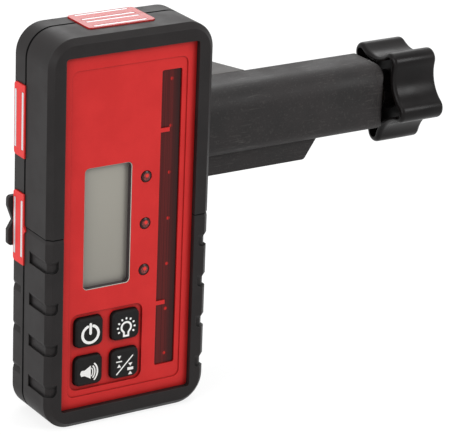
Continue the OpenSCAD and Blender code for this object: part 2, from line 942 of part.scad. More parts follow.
module case_screws() {
    head_y = case_d - screw_head_sunk;
    color("#9a9a9a")
        at_places(post_places, true)
            difference() {
                union() {
                    rod_y(screw_r, seal_y - screw_reach, head_y);
                    rod_y(screw_head_r, head_y - screw_head_t, head_y);
                }
                slab(head_y - screw_socket_d, case_d)
                    circle(r = screw_socket_r, $fn = 6);
            }
}

module board_screws() {
    color("#a8a8a8")
        at_places(board_post_places) {
            rod_y(board_screw_r, board_screw_tip_y, board_y + board_t);
            rod_y(2 * board_screw_r, board_y + board_t, board_y + board_t + board_screw_head_t);
        }
}

// Magnet insert of width w, with slots for its strips and a hollow for its magnet
module insert_block(w) {
    difference() {
        translate([0, 0, -insert_t])
            linear_extrude(insert_t)
                insert_outline(w, 0);
        translate([-strip_l / 2 - seat, w / 2 - seat, insert_floor - insert_t]) {
            for (side = [-1, 1])
                translate([0, (side * strip_pitch - strip_w) / 2, 0])
                    cube([strip_l + 2 * seat, strip_w + 2 * seat, insert_t]);
            translate([0, -magnet_w / 2, 0])
                cube([strip_l + 2 * seat, magnet_w + 2 * seat, insert_t - insert_floor - magnet_cover]);
        }
    }
}

// The rear half's inserts have a lip that covers the seal as far as the front half
module rear_insert() {
    insert_block(insert_w);
    translate([-insert_l / 2, seat - seal_t, -insert_lip_t])
        cube([insert_l, seal_t, insert_lip_t]);
}

module at_inserts() {
    on_top_front()
        translate([0, front_insert_w / 2, 0])
            children();
    on_top_rear()
        translate([0, insert_w / 2, 0])
            children();
    for (z = side_insert_zs)
        on_side(z)
            translate([0, insert_w / 2, 0])
                children();
}

module top_insert_front() {
    color("#d93a3a")
        on_top_front()
            insert_block(front_insert_w);
}

module top_insert_rear() {
    color("#d93a3a")
        on_top_rear()
            rear_insert();
}

module side_insert_upper() {
    color("#d93a3a")
        on_side(side_insert_zs[1])
            rear_insert();
}

module side_insert_lower() {
    color("#d93a3a") {
        on_side(side_insert_zs[0])
            rear_insert();
        insert_mark(0);
    }
}

module pole_strips() {
    color("#c9ccd0")
        at_inserts()
            for (side = [-1, 1])
                translate([-strip_l / 2, side * strip_pitch / 2 - strip_w / 2, insert_floor - insert_t])
                    cube([strip_l, strip_w, insert_t - insert_floor - strip_sunk]);
}

module magnet_bars() {
    color("#8a8d92")
        at_inserts()
            translate([-strip_l / 2, -magnet_w / 2, insert_floor - insert_t])
                cube([strip_l, magnet_w, insert_t - insert_floor - magnet_cover - 2 * seat]);
}

module mount_nut() {
    color("#b08d4a")
        translate([0, 0, attach_z])
            difference() {
                rod_y(screw_nut_r - fit, rear_y + nut_sunk, case_d);
                rod_y(attach_r + running, rear_y, case_d + cut);
            }
}

module battery_door() {
    line_l = 18;
    line_h = 0.8;
    line_depth = 0.5;
    line_pitch = 2;
    first_line = 4;
    color("#2b2a2a")
        difference() {
            union() {
                translate([-door_w / 2, case_d - door_t, hinge_z])
                    cube([door_w, door_t, door_top_z - hinge_z]);
                translate([0, hinge_y, hinge_z])
                    rod_x(knuckle_r, -door_w / 2, door_w / 2);
            }
            translate([0, hinge_y, hinge_z])
                rod_x(pin_r + fit, -door_w, door_w);
            // Shallow finger lines near the free edge
            for (i = [0 : 4])
                translate([-line_l / 2, case_d - line_depth, door_top_z - first_line - line_pitch * i])
                    cube([line_l, line_depth + cut, line_h]);
        }
}

module door_hinge_pin() {
    color("#b5b5b5")
        translate([0, hinge_y, hinge_z])
            rod_x(pin_r, -pin_half_l, pin_half_l);
}

// Button with a bevelled face in front and a lip behind the panel
module button(i, j) {
    lip_w = button_w + 2 * button_lap;
    button_d = panel_back + button_lip - button_front_y;
    color("#1c1b1b")
        translate([-button_left + i * button_pitch / 2, 0, button_z + j * button_pitch / 2]) {
            translate([0, button_front_y, -button_w / 2])
                bevelled_block(button_w, button_w, button_r, button_d, button_bevel);
            slab(panel_back + button_seat, panel_back + button_lip)
                rounded(lip_w, lip_w, button_r);
        }
}

module power_button() {
    button(-1, 1);
}

module light_button() {
    button(1, 1);
}

module sound_button() {
    button(-1, -1);
}

module precision_button() {
    button(1, -1);
}

// Section of the arm in Y and Z, grown or shrunk by a margin
module arm_section(margin) {
    y0 = arm_y + margin;
    z0 = arm_z + margin;
    d = arm_d - 2 * margin;
    h = arm_h - 2 * margin;
    top_r = arm_top_r - margin;
    least_r = 0.5;
    low_r = max(arm_low_r - margin, least_r);
    translate([y0, z0])
        difference() {
            square([d, h]);
            difference() {
                translate([-cut, h - top_r])
                    square([top_r + cut, top_r + cut]);
                translate([top_r, h - top_r])
                    circle(r = top_r);
            }
            difference() {
                translate([-cut, -cut])
                    square([low_r + cut, low_r + cut]);
                translate([low_r, low_r])
                    circle(r = low_r);
            }
        }
}

// Jaw seen from above, with its gripping face on X = 0 and its body to the right
module jaw_outline(y0) {
    y1 = arm_back + jaw_reach;
    difference() {
        polygon([[0, y0], [jaw_root, y0], [jaw_tip, y1], [0, y1]]);
        difference() {
            translate([-cut, y1 - jaw_tip_r])
                square([jaw_tip_r + cut, jaw_tip_r + cut]);
            translate([jaw_tip_r, y1 - jaw_tip_r])
                circle(r = jaw_tip_r);
        }
    }
}

// Hollows in a jaw's sloping outer side, two rows of two with a rib between
module jaw_cores() {
    y0 = arm_back + jaw_skin + 2 * jaw_gap;
    y1 = arm_back + jaw_reach - jaw_skin;
    core_h = (arm_h - 3 * jaw_skin) / 2;
    core_l = (y1 - y0 - jaw_skin) / 2;
    for (z = [arm_z + jaw_skin, axis_z + jaw_skin / 2], y = [y0, y1 - core_l])
        translate([jaw_face_t, y, z])
            cube([jaw_root, core_l, core_h]);
}

// Thin ends of the base plate, seen from behind, with a sighting notch in each
module ear_outline() {
    up = 6.4;
    down = 3.8;
    ear_r = 1.6;
    difference() {
        translate([0, grade_z])
            rounded(plate_w, plate_h, ear_r);
        for (side = [-1, 1])
            translate([side * plate_w / 2, grade_z])
                polygon([[side * cut, up + cut], [0, up], [-side * notch_depth, 0], [0, -down],
                    [side * cut, -down - cut]]);
    }
}

// Thick middle of the base plate, seen from behind, with a tab for the screw
module plate_outline() {
    ear_l = 8;
    translate([0, grade_z])
        square([plate_w - 2 * ear_l, plate_h], center = true);
    translate([0, (tab_low_z + grade_z) / 2])
        rounded(tab_w, grade_z - tab_low_z, tab_r);
}

// Reading flange under the arm: its lower edge is the reading line
module flange_outline() {
    end_x = half_w + flange_reach;
    slope = 6.7;
    top_z = arm_z + arm_low_r;
    corner_r = 2;
    lean = atan(slope / arm_rise);
    run = corner_r * tan((90 - lean) / 2);
    difference() {
        polygon([
            [arm_left, grade_z], [end_x, grade_z], [end_x + slope, arm_z], [end_x + slope, top_z],
            [arm_left, top_z]
        ]);
        polygon([
            [end_x - run, grade_z], [end_x - run, grade_z - cut], [end_x + slope, grade_z - cut],
            [end_x + run * sin(lean), grade_z + run * cos(lean)]
        ]);
    }
    translate([end_x - run, grade_z + corner_r])
        circle(r = corner_r);
}

module clamp_bracket() {
    cavity_end = arm_tube_end + cut;
    color("#34332f")
        difference() {
            union() {
                slab(case_d, case_d + ear_t)
                    ear_outline();
                slab(case_d, attach_y)
                    plate_outline();
                slab(flange_y, arm_back)
                    flange_outline();
                // Block that joins the plate to the flange and the arm
                translate([arm_left, attach_y - cut, grade_z])
                    cube([half_w - arm_left, flange_y - attach_y + 2 * cut, arm_rise]);
                translate([arm_left, arm_y, arm_z - seat])
                    cube([half_w - arm_left, arm_d, arm_low_r + seat]);
                bar(arm_left, arm_tube_end)
                    arm_section(0);
                translate([face_x, 0, arm_z])
                    mirror([1, 0, 0])
                        linear_extrude(arm_h)
                            jaw_outline(arm_back - cut);
            }
            translate([face_x, 0, 0])
                mirror([1, 0, 0])
                    jaw_cores();
            bar(arm_left + left_wall, cavity_end)
                arm_section(arm_wall);
            // Slot in the back that the jaw's neck runs in, open to the arm's end
            translate([face_x + pad_t, arm_back - arm_wall - cut, axis_z - slot_h / 2])
                cube([cavity_end - face_x, arm_wall + 2 * cut, slot_h]);
            translate([0, axis_y, axis_z])
                rod_x(journal_r + running, arm_left + journal_sunk, arm_left + left_wall + cut);
            translate([0, 0, attach_z])
                rod_y(attach_r + slide, case_d - cut, attach_y + cut);
            for (side = [-1, 1])
                translate([0, axis_y, axis_z + side * cap_screw_z])
                    rod_x(cap_screw_r + fit, arm_tube_end - cap_screw_l - cut, arm_tube_end + cut);
        }
}

// Cap with a spigot in the arm's end and a bearing for the lead screw; its edges are round
module arm_end_cap() {
    past = 2 * cap_round;
    color("#2d2c2a")
        difference() {
            union() {
                intersection() {
                    bar(arm_tube_end, arm_end)
                        arm_section(0);
                    translate([arm_end - arm_h / 2, 0, axis_z])
                        slab(arm_y - cut, arm_back + cut)
                            rounded(arm_h, arm_h, cap_round);
                    translate([arm_end - arm_h / 2, arm_back + past - (arm_d + past) / 2, arm_z - cut])
                        linear_extrude(arm_h + 2 * cut)
                            rounded(arm_h, arm_d + past, cap_round);
                }
                bar(arm_tube_end - spigot_l, arm_tube_end + cut)
                    arm_section(arm_wall + seat);
            }
            translate([0, axis_y, axis_z])
                rod_x(journal_r + running, arm_tube_end - spigot_l - cut, arm_end + cut);
            for (side = [-1, 1])
                translate([0, axis_y, axis_z + side * cap_screw_z]) {
                    rod_x(cap_screw_r + 2 * seat, arm_tube_end - cut, arm_end + cut);
                    rod_x(cap_head_r + 2 * seat, arm_tube_end + cap_screw_seat, arm_end + cut);
                }
        }
}

module end_cap_screws() {
    head_x = arm_tube_end + cap_screw_seat;
    color("#9a9a9a")
        for (side = [-1, 1])
            translate([0, axis_y, axis_z + side * cap_screw_z]) {
                rod_x(cap_screw_r, arm_tube_end - cap_screw_l, head_x + seat);
                rod_x(cap_head_r, head_x, head_x + cap_screw_head);
            }
}

// Ribbed rubber pad, its back on X = 0 and its ribs towards positive X
module jaw_pad() {
    rib_pitch = 3;
    rib_foot = 2.4;
    rib_top = 1;
    rib_side = (rib_foot - rib_top) / 2;
    web_t = 0.6 * pad_t;
    margin = 2.5;
    y0 = arm_back + margin;
    y1 = arm_back + jaw_reach - jaw_tip_r - 1;
    ribs = floor((y1 - y0) / rib_pitch);
    translate([0, 0, arm_z + margin])
        linear_extrude(arm_h - 2 * margin) {
            translate([0, y0])
                square([web_t, y1 - y0]);
            for (i = [0 : ribs - 1])
                translate([0, y0 + i * rib_pitch])
                    polygon([[0, 0], [pad_t, rib_side], [pad_t, rib_side + rib_top], [0, rib_foot]]);
        }
}

module fixed_jaw_pad() {
    color("#1f1f1f")
        translate([face_x, 0, 0])
            jaw_pad();
}

module moving_jaw_pad() {
    color("#1f1f1f")
        translate([moving_x, 0, 0])
            mirror([1, 0, 0])
                jaw_pad();
}

module screw_washer() {
    color("#b5b5b5")
        translate([0, 0, attach_z])
            difference() {
                rod_y(attach_r + washer_lap, attach_y, attach_y + washer_t);
                rod_y(attach_r + running, attach_y - cut, attach_y + washer_t + cut);
            }
}

module attaching_screw() {
    tip_y = rear_y + 1.5 * nut_sunk;
    color("#b5b5b5")
        translate([0, 0, attach_z])
            rod_y(attach_r, tip_y, attach_y + washer_t + attach_knob_t - screw_cover);
}

// Star outline: lobes and valleys are arcs that meet without a corner. Its measures are the
// distance of the lobes' middles, the radius of the valleys' arcs and the distance of theirs
function star_sizes(tip, lobe, valley) =
    let (lobe_d = tip - lobe, side = lobe_d * cos(180 / lobes))
    let (dip = (valley * valley + lobe_d * lobe_d - 2 * valley * side - lobe * lobe)
        / (2 * (lobe + side - valley)))
    [lobe_d, dip, valley + dip];

// Corners at the middles of the lobes and of the valleys' arcs, in turn
function star_corners(sizes) = [
    for (i = [0 : 2 * lobes - 1]) sizes[i % 2 * 2] * [cos(i * 180 / lobes), sin(i * 180 / lobes)]
];

module star(tip, lobe, valley, hair = 0) {
    sizes = star_sizes(tip, lobe, valley);
    turn = 360 / lobes;
    difference() {
        polygon(star_corners(sizes));
        for (i = [0 : lobes - 1])
            rotate((i + 0.5) * turn)
                translate([sizes[2], 0])
                    circle(r = sizes[1] + hair);
    }
    for (i = [0 : lobes - 1])
        rotate(i * turn)
            translate([sizes[0], 0])
                circle(r = lobe);
}

// Star of thickness t on Z = 0, its lobes rounded at both faces by a disc with a round rim.
// The valleys are cut deeper by a hair, so that they cross the lobes instead of touching them
module round_star(tip, lobe, valley, t, edge) {
    hair = 0.06;
    over = 0.1 * edge;
    intersection() {
        linear_extrude(t)
            star(tip, lobe, valley, hair);
        rotate_extrude() {
            square([tip + over - edge, t]);
            translate([0, edge])
                square([tip + over, t - 2 * edge]);
            for (y = [edge, t - edge])
                translate([tip + over - edge, y])
                    circle(r = edge);
        }
    }
}

module attaching_knob() {
    y0 = attach_y + washer_t;
    lobe_share = 0.28;
    valley_share = 0.72;
    color("#262524")
        translate([0, 0, attach_z])
            difference() {
                slab(y0, y0 + attach_knob_t)
                    star(attach_knob_r, lobe_share * attach_knob_r, valley_share * attach_knob_r);
                rod_y(attach_r + fit, y0 - cut, y0 + attach_knob_t - screw_cover);
            }
}

// Smooth ends run in the arm and in the end cap; the thicker middle carries the thread
module lead_screw() {
    thread_x0 = arm_left + left_wall + slide;
    thread_x1 = ring_x - ring_t - slide;
    color("#a9abad")
        translate([0, axis_y, axis_z]) {
            rod_x(journal_r, arm_left + journal_sunk + journal_play, knob_x + knob_t - knob_cover);
            rod_x(lead_r, thread_x0, thread_x1);
        }
}

// Hollow towards the arm inside a rim that follows the star, with a hub in the middle
module star_knob() {
    color("#1e1d1d")
        translate([0, axis_y, axis_z])
            difference() {
                union() {
                    difference() {
                        translate([knob_x, 0, 0])
                            rotate([90, 0, 90])
                                rotate(knob_rest)
                                    round_star(knob_r, lobe_r, valley_r, knob_t, knob_edge);
                        bar(knob_x - cut, knob_x + knob_hollow)
                            rotate(knob_rest)
                                star(knob_r - knob_rim, lobe_r - knob_rim, valley_r - knob_rim);
                    }
                    rod_x(hub_r, arm_end + washer_t + slide, knob_x + knob_hollow + cut);
                }
                rod_x(journal_r + fit, arm_end, knob_x + knob_t - knob_cover);
                rod_x(knob_dish_r, knob_x + knob_t - knob_dish_d, knob_x + knob_t + cut);
            }
}

module thrust_washer() {
    color("#c0b27a")
        translate([0, axis_y, axis_z])
            difference() {
                rod_x(journal_r + thrust_lap, arm_end + thrust_play, arm_end + washer_t);
                rod_x(journal_r + fit, arm_end - cut, arm_end + washer_t + cut);
            }
}

module retaining_ring() {
    color("#8d8d8d")
        translate([0, axis_y, axis_z])
            difference() {
                rod_x(journal_r + ring_lap, ring_x - ring_t, ring_x);
                rod_x(journal_r + fit, ring_x - ring_t - cut, ring_x + cut);
            }
}

module moving_jaw() {
    color("#34332f")
        difference() {
            union() {
                translate([moving_x, 0, arm_z])
                    linear_extrude(arm_h)
                        jaw_outline(arm_back + jaw_gap);
                bar(carriage_x, carriage_x + carriage_l)
                    arm_section(arm_wall + slide);
                // Neck that runs in the arm's slot and joins the carriage to the jaw
                translate([carriage_x, arm_back - arm_wall - neck_lap, axis_z - slot_h / 2 + slide])
                    cube([carriage_l, arm_wall + neck_lap + cut, slot_h - 2 * slide]);
            }
            translate([moving_x, 0, 0])
                jaw_cores();
            translate([0, axis_y, axis_z])
                rod_x(jaw_nut_r, carriage_x - cut, carriage_x + carriage_l + cut);
        }
}

module jaw_nut() {
    color("#b08d4a")
        translate([0, axis_y, axis_z])
            difference() {
                rod_x(jaw_nut_r - fit, carriage_x, carriage_x + carriage_l);
                rod_x(lead_r + running, carriage_x - cut, carriage_x + carriage_l + cut);
            }
}

// The origin is on the reading line, where the fixed jaw's face meets the arm's back
module in_frame() {
    translate([-face_x, -arm_back, -grade_z])
        children();
}

in_frame() front_shell();
in_frame() rear_shell();
in_frame() case_seal();
in_frame() front_panel();
in_frame() lcd_module();
in_frame() lcd_holder();
in_frame() filter_window();
in_frame() photodiodes();
in_frame() indicator_leds();
in_frame() main_board();
in_frame() tact_switches();
in_frame() buzzer();
in_frame() battery_tray();
in_frame() battery_cells();
in_frame() battery_contacts();
in_frame() case_screws();
in_frame() board_screws();
in_frame() top_insert_front();
in_frame() top_insert_rear();
in_frame() side_insert_upper();
in_frame() side_insert_lower();
in_frame() pole_strips();
in_frame() magnet_bars();
in_frame() mount_nut();
in_frame() battery_door();
in_frame() door_hinge_pin();
in_frame() power_button();
in_frame() light_button();
in_frame() sound_button();
in_frame() precision_button();
in_frame() clamp_bracket();
in_frame() arm_end_cap();
in_frame() end_cap_screws();
in_frame() fixed_jaw_pad();
in_frame() screw_washer();
in_frame() attaching_screw();
in_frame() attaching_knob();
in_frame() lead_screw();
in_frame() star_knob();
in_frame() thrust_washer();
in_frame() retaining_ring();
in_frame() moving_jaw();
in_frame() jaw_nut();
in_frame() moving_jaw_pad();
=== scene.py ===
import math

import bmesh
import bpy
from mathutils import Matrix, Vector


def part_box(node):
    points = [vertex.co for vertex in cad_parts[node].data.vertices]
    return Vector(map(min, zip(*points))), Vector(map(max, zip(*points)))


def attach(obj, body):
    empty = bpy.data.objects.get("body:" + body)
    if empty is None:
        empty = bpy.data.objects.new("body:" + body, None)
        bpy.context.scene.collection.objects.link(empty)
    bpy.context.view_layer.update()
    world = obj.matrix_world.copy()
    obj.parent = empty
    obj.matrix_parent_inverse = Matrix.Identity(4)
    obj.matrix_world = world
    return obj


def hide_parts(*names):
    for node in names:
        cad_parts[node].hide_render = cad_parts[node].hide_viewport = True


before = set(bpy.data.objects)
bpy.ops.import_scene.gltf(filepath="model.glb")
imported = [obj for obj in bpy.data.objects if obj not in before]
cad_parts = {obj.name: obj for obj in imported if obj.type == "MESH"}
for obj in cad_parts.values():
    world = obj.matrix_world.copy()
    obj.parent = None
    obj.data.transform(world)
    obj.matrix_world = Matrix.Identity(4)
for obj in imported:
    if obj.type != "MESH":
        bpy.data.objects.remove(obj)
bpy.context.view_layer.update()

# Case halves. Each is one shell of black glass-filled plastic, injection moulded in a
# spark-eroded tool that leaves a fine matt skin. Screws from behind pull them together. The
# joint and the belt half way up are painted as dark lines, painted shade in the joint and under
# the belt's step; creases get painted shade, and edges are painted paler, partly wear and partly
# painted highlight.
MM = 0.001
FLOW_SIZE = 14.0
SCUFF_SIZE = 2.5
LINE_BLUR = 0.1
JOINT_HALF = 0.7
BELT_Z = 0.7
BELT_HALF = 0.3


class Shade:
    """One output of a shader node. Arithmetic on it adds Math nodes to its material."""

    def __init__(self, material, socket=None):
        self.material = material
        self.socket = socket

    def feed(self, node, values):
        """Links each Shade to its socket, and sets each plain value on its socket."""
        for name, value in values.items():
            if isinstance(value, Shade):
                self.material.node_tree.links.new(value.socket, node.inputs[name])
            else:
                node.inputs[name].default_value = value

    def node(self, kind, settings, values, out=0):
        """Adds any other node: its settings first, then its sockets."""
        made = self.material.node_tree.nodes.new(kind)
        for name, value in settings.items():
            setattr(made, name, value)
        self.feed(made, values)
        return Shade(self.material, made.outputs[out])

    def math(self, operation, first, second):
        """Adds a Math node for an operation on two numbers."""
        return self.node("ShaderNodeMath", {"operation": operation}, {0: first, 1: second})

    def __add__(self, other):
        return self.math("ADD", self, other)

    def __sub__(self, other):
        return self.math("SUBTRACT", self, other)

    def __rsub__(self, other):
        return self.math("SUBTRACT", other, self)

    def __mul__(self, other):
        return self.math("MULTIPLY", self, other)

    __radd__ = __add__
    __rmul__ = __mul__


def tint(code):
    """Colour written as six hex digits, in the shader's linear red, green, blue, alpha."""
    parts = [int(code[i:i + 2], 16) / 255 for i in (1, 3, 5)]
    return (*[p / 12.92 if p <= 0.04045 else ((p + 0.055) / 1.055) ** 2.4 for p in parts], 1.0)


def surface(name):
    """A new material, as the place on its surface in millimetres."""
    material = bpy.data.materials.new(name)
    material.use_nodes = True
    where = Shade(material).node("ShaderNodeTexCoord", {}, {}, "Object")
    return where.node("ShaderNodeVectorMath", {"operation": "SCALE"}, {0: where, "Scale": 1 / MM})


def along(where, axis):
    """Place along one axis."""
    return where.node("ShaderNodeSeparateXYZ", {}, {"Vector": where}, axis)


def cloud(where, size, detail=2.0):
    """Cloudy pattern from 0 to 1 whose lumps are about this many millimetres wide."""
    return where.node("ShaderNodeTexNoise", {}, {"Vector": where, "Scale": 1 / size, "Detail": detail})


def ease(value, low, high):
    """0 below low, 1 above high and a soft step between."""
    return value.node("ShaderNodeMapRange", {"interpolation_type": "SMOOTHSTEP"},
                      {"Value": value, "From Min": low, "From Max": high})


def between(share, first, second):
    """A mix of two colours, from the first at a share of 0 to the second at 1."""
    return share.node("ShaderNodeMix", {"data_type": "RGBA"}, {0: share, 6: first, 7: second}, 2)


def softened(where, reach):
    """Normal of the surface with its edges rounded off by this many millimetres."""
    return where.node("ShaderNodeBevel", {"samples": 6}, {"Radius": reach * MM})


def bumped(height, depth, base=None):
    """Normal of a surface that rises by this many millimetres where height is 1."""
    under = {"Normal": base} if base else {}
    return height.node("ShaderNodeBump", {}, {"Height": height, "Distance": depth * MM, **under})


def edge_wear_and_highlight(soft):
    """Share of edge wear and painted highlight: 1 where the rounded normal leans off the flat one."""
    flat = soft.node("ShaderNodeNewGeometry", {}, {}, "Normal")
    lean = soft.node("ShaderNodeVectorMath", {"operation": "DOT_PRODUCT"}, {0: soft, 1: flat}, "Value")
    return ease(1 - lean, 0.02, 0.25)


def sheltered(where, reach):
    """Share of shade in corners and beside walls, within this many millimetres of them."""
    light = where.node("ShaderNodeAmbientOcclusion", {"samples": 8}, {"Distance": reach * MM}, "AO")
    return ease(1 - light, 0.0, 0.6)


def shaded(where, sockets):
    """Feeds the material's shader and gives the finished material."""
    where.feed(where.material.node_tree.nodes["Principled BSDF"], sockets)
    return where.material


def moulded(name, dark, light, rough, grain, depth, gloss=0.3, edge=0.3, wear_and_highlight=None, corner_shade=None,
            reach=5.0, lines=()):
    """Moulded plastic: flow clouds, eroded grain, edges paler by wear and painted highlight, painted shade
    in corners and lines.
    """
    where = surface(name)
    skin = cloud(where, grain, 3.0)
    flow = cloud(where, FLOW_SIZE, 3.0)
    soft = softened(where, edge)
    colour = between(ease(flow * 0.7 + skin * 0.3, 0.35, 0.65), tint(dark), tint(light))
    if wear_and_highlight:
        scuffs = ease(cloud(where, SCUFF_SIZE, 4.0), 0.42, 0.66)
        # Edges are painted paler: partly wear where scuffed, partly a painted highlight.
        colour = between(edge_wear_and_highlight(soft) * (0.35 + 0.65 * scuffs), colour, tint(wear_and_highlight))
    # Painted shade: darker in corners and beside walls, within reach of them.
    if corner_shade:
        colour = between(sheltered(where, reach), colour, tint(corner_shade))
    matt = rough - 0.06 + 0.12 * ease(flow, 0.3, 0.7)
    # Painted shade: each listed line is painted near black and matt, as shade in a joint or under a step.
    for axis, place, half_width in lines:
        from_line = where.math("ABSOLUTE", along(where, axis) - place, 0.0)
        line_shade = ease(half_width - from_line, -LINE_BLUR, LINE_BLUR)
        colour = between(line_shade, colour, tint("#010101"))
        matt = matt + line_shade * (1 - matt)
    return shaded(where, {
        "Base Color": colour,
        "Roughness": matt,
        "Normal": bumped(skin, depth, soft),
        "Specular IOR Level": gloss,
    })


def dress(name, material):
    """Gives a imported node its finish."""
    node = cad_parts[name]
    node.data.materials.clear()
    node.data.materials.append(material)


low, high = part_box("case_seal")
joint_line = ("Y", (low.y + high.y) / 2 / MM, JOINT_HALF)
belt_line = ("Z", BELT_Z, BELT_HALF)
for half, lines in (("front_shell", [joint_line, belt_line]), ("rear_shell", [joint_line])):
    dress(half, moulded(half + "_black", "#191616", "#201d1d", rough=0.5, grain=0.3, depth=0.012,
                        gloss=0.2, edge=0.5, wear_and_highlight="#353231", corner_shade="#030303", reach=1.2, lines=lines))

# Seal. A thin flat ring of black rubber cut from sheet, squeezed between the case halves
# and set a little back from their outside, where it shows as a dark line.
seal_black = moulded("seal_black", "#020202", "#050505", rough=0.8, grain=0.5, depth=0.02, gloss=0.05)
dress("case_seal", seal_black)

# Front panel. Moulded in red plastic with a satin skin, held behind the case's border. The
# broad face and the pocket of the buttons are sunk steps in the same moulding. Painted shade
# darkens the corners of the steps and the floor of the pocket, and the edges are painted paler,
# partly wear and partly painted highlight.
panel_red = moulded("panel_red", "#c62423", "#ce2a29", rough=0.4, grain=0.35, depth=0.006,
                    gloss=0.2, edge=0.12, wear_and_highlight="#e4524b", corner_shade="#951413")
dress("front_panel", panel_red)

# Display. A grey reflective liquid-crystal glass, blank while it is switched off, clipped
# against the back of the panel's window by a white plastic frame. The glass is painted lighter
# towards the top as a painted reflection, and darker beside the window's walls as painted shade.
# A thin ring stands for the clear lens in the window: its ground edge is painted bright as a
# painted highlight, with the wall behind it painted dark as painted shade.
SHEEN_SIZE = 30.0
SHEEN_WAVE = 9.0
where = surface("display_grey")
low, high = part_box("lcd_module")
height = along(where, "Z") + SHEEN_WAVE * cloud(where, SHEEN_SIZE)
sheen = ease(height, low.z / MM, high.z / MM + SHEEN_WAVE)
film = cloud(where, 0.25)
# Painted reflection: the glass is lighter towards the top.
clear = between(sheen, tint("#8e8b82"), tint("#9b988e"))
# Painted shade beside the window's walls darkens the glass there.
display_grey = shaded(where, {
    "Base Color": between(0.7 * sheltered(where, 4.0), clear, tint("#5c5655")),
    "Roughness": 0.32 + 0.1 * film,
    "Normal": bumped(film, 0.002),
})
dress("lcd_module", display_grey)

LENS_W, LENS_H, LENS_R = 21.9, 52.7, 2.0
LENS_EDGE = 0.18
LENS_SUNK = 0.5
LENS_GAP = 0.02
lens_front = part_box("front_panel")[0].y / MM + LENS_SUNK
lens_back = low.y / MM - LENS_GAP
where = surface("lens_edge")
# Painted highlight on the lens's front edge, painted shade on the wall behind it.
lens_wall_shade = ease(along(where, "Y"), lens_front + LENS_EDGE, lens_front + 2 * LENS_EDGE)
polish = cloud(where, 0.6)
lens_edge = shaded(where, {
    "Base Color": between(lens_wall_shade, tint("#bdb8af"), tint("#3d3537")),
    "Roughness": 0.15 + 0.15 * polish,
})


def arc(middle, radius, start, stop, steps=24):
    """Points of an arc in the X and Z plane; the angles are in degrees from +X towards +Z."""
    turns = [math.radians(start + (stop - start) * i / steps) for i in range(steps + 1)]
    return [Vector((middle.x + radius * math.cos(t), middle.y + radius * math.sin(t))) for t in turns]


def lens_loop(middle, inset, y):
    """Loop of points round the display's window, this far inside its outline."""
    loop = []
    for i, (a, b) in enumerate(((1, 1), (-1, 1), (-1, -1), (1, -1))):
        corner = Vector((a * (LENS_W / 2 - LENS_R), b * (LENS_H / 2 - LENS_R)))
        loop += arc(corner, LENS_R - inset, 90 * i, 90 * i + 90, 8)
    return [Vector((p.x * MM + middle.x, y * MM, p.y * MM + middle.z)) for p in loop]


def skinned(solid, rows):
    """Joins each row of corners to the next one by a band of faces."""
    for near, far in zip(rows, rows[1:]):
        for i in range(len(near)):
            solid.faces.new((near[i - 1], near[i], far[i], far[i - 1]))


def piece(name, solid, material, body, instead=None):
    """Makes a mesh piece that rides on a body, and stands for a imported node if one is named."""
    mesh = bpy.data.meshes.new(name)
    solid.to_mesh(mesh)
    solid.free()
    made = bpy.data.objects.new(name, mesh)
    made.data.materials.append(material)
    bpy.context.scene.collection.objects.link(made)
    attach(made, body)
    if instead:
        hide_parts(instead)


middle = (low + high) / 2
section = [(0, lens_front), (LENS_EDGE, lens_front + LENS_EDGE), (LENS_EDGE, lens_back), (0, lens_back)]
lens = bmesh.new()
rows = [[lens.verts.new(point) for point in lens_loop(middle, inset, y)] for inset, y in section]
skinned(lens, rows + rows[:1])
bmesh.ops.recalc_face_normals(lens, faces=lens.faces)
piece("display_lens_edge", lens, lens_edge, "receiver")
holder_white = moulded("holder_white", "#cfcfca", "#dcdcd8", rough=0.5, grain=0.6, depth=0.01, gloss=0.4)
dress("lcd_holder", holder_white)

# Receiving window and light sensors. The window is a bar of deep red plastic that lets only
# the laser's colour through; behind it a row of black sensors stands on the circuit board. The
# bar is painted darker towards its right as painted shade, and a row of small bright points on
# it are painted glints of the sensors behind.
SHADE_FROM = 5.5
SHADE_WAVE = 2.5
DOT_PITCH = 20.15
DOT_R = 1.0
FIRST_DOT = Vector((0.3, 0.0, 20.3))


def streaks(where, sizes, detail=2.0):
    """Cloudy pattern from 0 to 1, drawn out to about these sizes along X, Y and Z."""
    shrink = [1 / size for size in sizes]
    return cloud(where.node("ShaderNodeVectorMath", {"operation": "MULTIPLY"}, {0: where, 1: shrink}),
                 1.0, detail)


def from_row(where, first, pitch):
    """Distance in X and Z from the nearest of a row of points, one pitch apart along Z."""
    offset = where.node("ShaderNodeVectorMath", {"operation": "SUBTRACT"}, {0: where, 1: first})
    x = along(offset, "X")
    z = along(offset, "Z")
    z = z.math("FLOORED_MODULO", z + pitch / 2, pitch) - pitch / 2
    return z.math("SQRT", x * x + z * z, 0.0)


where = surface("filter_red")
low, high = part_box("filter_window")
streak = streaks(where, (0.8, 4.0, 60.0), 3.0)
fine = streaks(where, (0.35, 4.0, 90.0))
# Painted shade: the bar is darker towards its right side.
shadow_side = ease(along(where, "X") + SHADE_WAVE * streak, low.x / MM + SHADE_FROM, high.x / MM)
first_dot = (low + high) / (2 * MM) + FIRST_DOT
# Painted glints: a row of small bright points where the sensors behind catch the light.
sensor_glints = ease(DOT_R - from_row(where, first_dot, DOT_PITCH), 0.0, 0.7) * ease(fine, 0.3, 0.6)
tone = between(shadow_side, tint("#5a1817"), tint("#2c1312"))
tone = between(ease(fine, 0.45, 0.7) * 0.5, tone, tint("#240b0b"))
filter_red = shaded(where, {
    "Base Color": between(sensor_glints, tone, tint("#cc201b")),
    "Roughness": 0.2 + 0.1 * streak,
    "Specular IOR Level": 0.15,
})
dress("filter_window", filter_red)
component_black = moulded("component_black", "#17171a", "#222226", rough=0.45, grain=0.4, depth=0.01)
dress("photodiodes", component_black)

